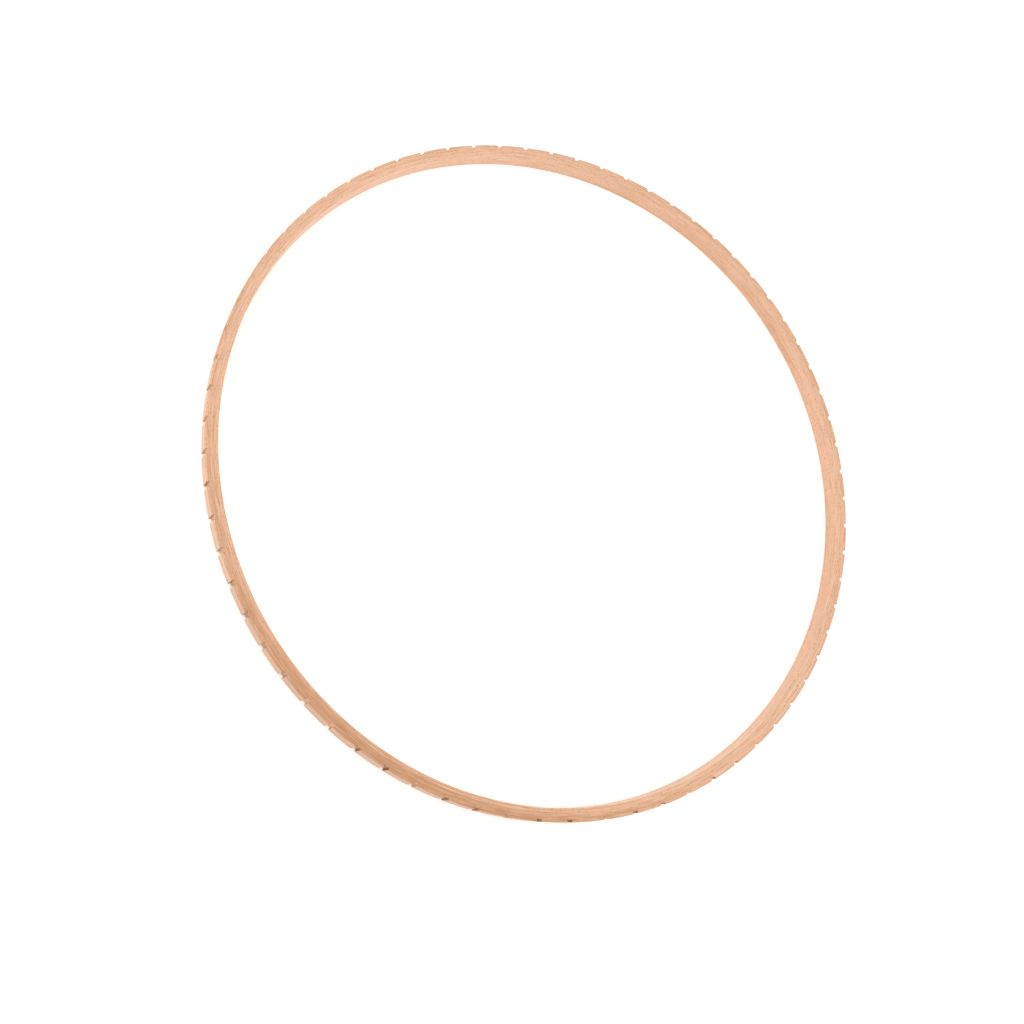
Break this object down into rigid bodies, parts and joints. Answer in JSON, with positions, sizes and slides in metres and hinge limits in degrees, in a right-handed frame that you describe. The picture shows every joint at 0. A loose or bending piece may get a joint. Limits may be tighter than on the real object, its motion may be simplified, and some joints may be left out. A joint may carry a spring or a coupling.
{
  "type": "circular weaving loom",
  "caption": "Slim round weaving loom: an open hoop laminated from bent beech strips, with straight warp slots sawn across its outside from face to face at an even pitch.",
  "frame": {"origin": "centre of the hoop, in the plane of its back face", "axes": "+Z along the hoop's axis from the back face to the front face, +X through the middle of the one wide land, +Y a quarter turn from +X about +Z"},
  "size_m": [0.3, 0.3, 0.008],
  "materials": {
    "beech": "steamed beech, sanded smooth and left unfinished",
    "wood_glue": "cured wood glue, sanded flush"
  },
  "bodies": {
    "root": {"outer_ply": "beech", "middle_ply": "beech", "inner_ply": "beech", "outer_glue_line": "wood_glue", "inner_glue_line": "wood_glue", "outer_scarf_glue": "wood_glue", "middle_scarf_glue": "wood_glue", "inner_scarf_glue": "wood_glue"}
  },
  "joints": []
}
